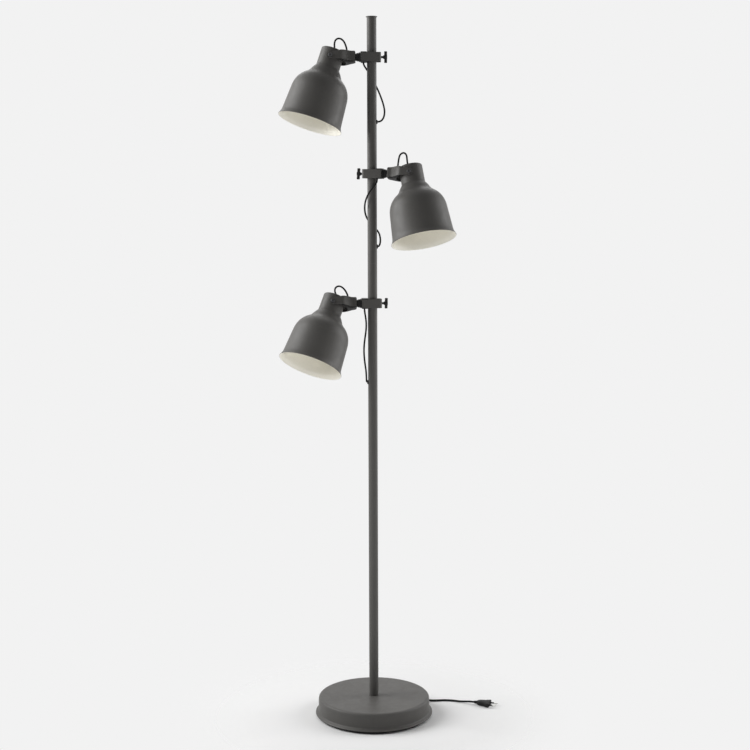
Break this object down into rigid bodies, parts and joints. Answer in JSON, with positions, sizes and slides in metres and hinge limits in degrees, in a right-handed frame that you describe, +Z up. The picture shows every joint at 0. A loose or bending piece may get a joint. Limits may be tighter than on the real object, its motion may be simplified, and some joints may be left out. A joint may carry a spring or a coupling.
{
  "type": "floor lamp",
  "caption": "Floor lamp with a round weighted base, a slim pole and tilting bell-shaped spotlights on clamps that slide and turn on the pole.",
  "frame": {"origin": "middle of the base's underside, on the floor", "axes": "+Z up the pole, +X to the right as the picture shows the lamp, +Y away from the viewer"},
  "size_m": [0.5537, 0.3927, 1.76],
  "materials": {
    "grey_paint": "fine-textured satin powder coat",
    "shade_paint": "fine-textured satin powder coat outside, warm white inside",
    "grey_steel": "satin",
    "grey_plastic": "matt",
    "black_plastic": "matt",
    "knob_plastic": "satin knob on a zinc-plated thread",
    "white_plastic": "satin",
    "iron": "rough cast",
    "zinc": "zinc-plated",
    "nickel": "nickel-plated",
    "cord_sheath": "satin black sheath"
  },
  "bodies": {
    "base": {"base_cover": "grey_paint", "base_weight": "iron", "bottom_plate": "black_plastic", "base_nipple": "zinc", "terminal_block": "white_plastic", "pole_lower": "grey_paint", "pole_middle": "grey_paint", "pole_upper": "grey_paint", "pole_inserts": "zinc", "pole_cap": "grey_plastic", "hole_grommets": "black_plastic", "pole_leads": "cord_sheath", "cord_gland": "black_plastic", "cord_lead": "cord_sheath", "cord_coil": "cord_sheath", "cord_run": "cord_sheath", "plug_body": "black_plastic", "plug_pins": "nickel", "cable_tail_top": "cord_sheath", "cable_tail_middle": "cord_sheath", "cable_tail_bottom": "cord_sheath"},
    "liner_top": {"clamp_liner_top": "black_plastic"},
    "clamp_top": {"clamp_ring_top": "grey_paint", "clamp_block_top": "black_plastic"},
    "pad_top": {"clamp_pad_top": "black_plastic"},
    "screw_top": {"clamp_screw_top": "knob_plastic"},
    "arm_top": {"arm_bolt_top": "zinc", "arm_shell_top": "black_plastic", "yoke_top": "grey_paint", "cable_loop_top": "cord_sheath"},
    "shade_top": {"shade_top": "shade_paint", "pivot_screws_top": "grey_steel", "neck_bridge_top": "zinc", "lampholder_top": "white_plastic"},
    "liner_middle": {"clamp_liner_middle": "black_plastic"},
    "clamp_middle": {"clamp_ring_middle": "grey_paint", "clamp_block_middle": "black_plastic"},
    "pad_middle": {"clamp_pad_middle": "black_plastic"},
    "screw_middle": {"clamp_screw_middle": "knob_plastic"},
    "arm_middle": {"arm_bolt_middle": "zinc", "arm_shell_middle": "black_plastic", "yoke_middle": "grey_paint", "cable_loop_middle": "cord_sheath"},
    "shade_middle": {"shade_middle": "shade_paint", "pivot_screws_middle": "grey_steel", "neck_bridge_middle": "zinc", "lampholder_middle": "white_plastic"},
    "liner_bottom": {"clamp_liner_bottom": "black_plastic"},
    "clamp_bottom": {"clamp_ring_bottom": "grey_paint", "clamp_block_bottom": "black_plastic"},
    "pad_bottom": {"clamp_pad_bottom": "black_plastic"},
    "screw_bottom": {"clamp_screw_bottom": "knob_plastic"},
    "arm_bottom": {"arm_bolt_bottom": "zinc", "arm_shell_bottom": "black_plastic", "yoke_bottom": "grey_paint", "cable_loop_bottom": "cord_sheath"},
    "shade_bottom": {"shade_bottom": "shade_paint", "pivot_screws_bottom": "grey_steel", "neck_bridge_bottom": "zinc", "lampholder_bottom": "white_plastic"}
  },
  "joints": [
    {"name": "top_height", "type": "slide", "parent": "base", "child": "liner_top", "axis": [0, 0, 1], "range_m": [-0.1, 0.02], "deforming": ["cable_tail_top"]},
    {"name": "top_turn", "type": "hinge", "parent": "liner_top", "child": "clamp_top", "pos_m": [0, 0, 1.662], "axis": [0, 0, 1], "range_deg": [-90, 90], "deforming": ["cable_tail_top"]},
    {"name": "top_pad", "type": "slide", "parent": "clamp_top", "child": "pad_top", "axis": [-1, 0, 0], "range_m": [-0.0015, 0]},
    {"name": "top_screw", "type": "hinge", "parent": "pad_top", "child": "screw_top", "pos_m": [0, 0, 1.662], "axis": [-1, 0, 0], "range_deg": [-540, 0]},
    {"name": "top_roll", "type": "hinge", "parent": "clamp_top", "child": "arm_top", "pos_m": [0, 0, 1.662], "axis": [-1, 0, 0], "range_deg": [-70.5, 49.5]},
    {"name": "top_tilt", "type": "hinge", "parent": "arm_top", "child": "shade_top", "pos_m": [-0.1, -0.00055, 1.65905], "axis": [0, 0.9833, -0.1822], "range_deg": [-16.7, 42.3], "deforming": ["cable_loop_top"]},
    {"name": "middle_height", "type": "slide", "parent": "base", "child": "liner_middle", "axis": [0, 0, 1], "range_m": [-0.1, 0.02], "deforming": ["cable_tail_middle"]},
    {"name": "middle_turn", "type": "hinge", "parent": "liner_middle", "child": "clamp_middle", "pos_m": [0, 0, 1.38], "axis": [0, 0, 1], "range_deg": [-90, 90], "deforming": ["cable_tail_middle"]},
    {"name": "middle_pad", "type": "slide", "parent": "clamp_middle", "child": "pad_middle", "axis": [0.9744, -0.225, 0], "range_m": [-0.0015, 0]},
    {"name": "middle_screw", "type": "hinge", "parent": "pad_middle", "child": "screw_middle", "pos_m": [0, 0, 1.38], "axis": [0.9744, -0.225, 0], "range_deg": [-540, 0]},
    {"name": "middle_roll", "type": "hinge", "parent": "clamp_middle", "child": "arm_middle", "pos_m": [0, 0, 1.38], "axis": [0.9744, -0.225, 0], "range_deg": [-45.5, 74.5]},
    {"name": "middle_tilt", "type": "hinge", "parent": "arm_middle", "child": "shade_middle", "pos_m": [0.09727, -0.02323, 1.3771], "axis": [-0.2178, -0.9433, 0.2504], "range_deg": [-12.2, 46.8], "deforming": ["cable_loop_middle"]},
    {"name": "bottom_height", "type": "slide", "parent": "base", "child": "liner_bottom", "axis": [0, 0, 1], "range_m": [-0.1, 0.005], "deforming": ["cable_tail_bottom"]},
    {"name": "bottom_turn", "type": "hinge", "parent": "liner_bottom", "child": "clamp_bottom", "pos_m": [0, 0, 1.06], "axis": [0, 0, 1], "range_deg": [-90, 90], "deforming": ["cable_tail_bottom"]},
    {"name": "bottom_pad", "type": "slide", "parent": "clamp_bottom", "child": "pad_bottom", "axis": [-0.9976, -0.0698, 0], "range_m": [-0.0015, 0]},
    {"name": "bottom_screw", "type": "hinge", "parent": "pad_bottom", "child": "screw_bottom", "pos_m": [0, 0, 1.06], "axis": [-0.9976, -0.0698, 0], "range_deg": [-540, 0]},
    {"name": "bottom_roll", "type": "hinge", "parent": "clamp_bottom", "child": "arm_bottom", "pos_m": [0, 0, 1.06], "axis": [-0.9976, -0.0698, 0], "range_deg": [-82.8, 37.2]},
    {"name": "bottom_tilt", "type": "hinge", "parent": "arm_bottom", "child": "shade_bottom", "pos_m": [-0.09967, -0.00813, 1.05723], "axis": [-0.0643, 0.9196, -0.3875], "range_deg": [-19.2, 39.8], "deforming": ["cable_loop_bottom"]}
  ],
  "couplings": [
    {"joint": "top_screw", "follows": "top_pad", "rad_per_m": 6283.2},
    {"joint": "middle_screw", "follows": "middle_pad", "rad_per_m": 6283.2},
    {"joint": "bottom_screw", "follows": "bottom_pad", "rad_per_m": 6283.2}
  ]
}
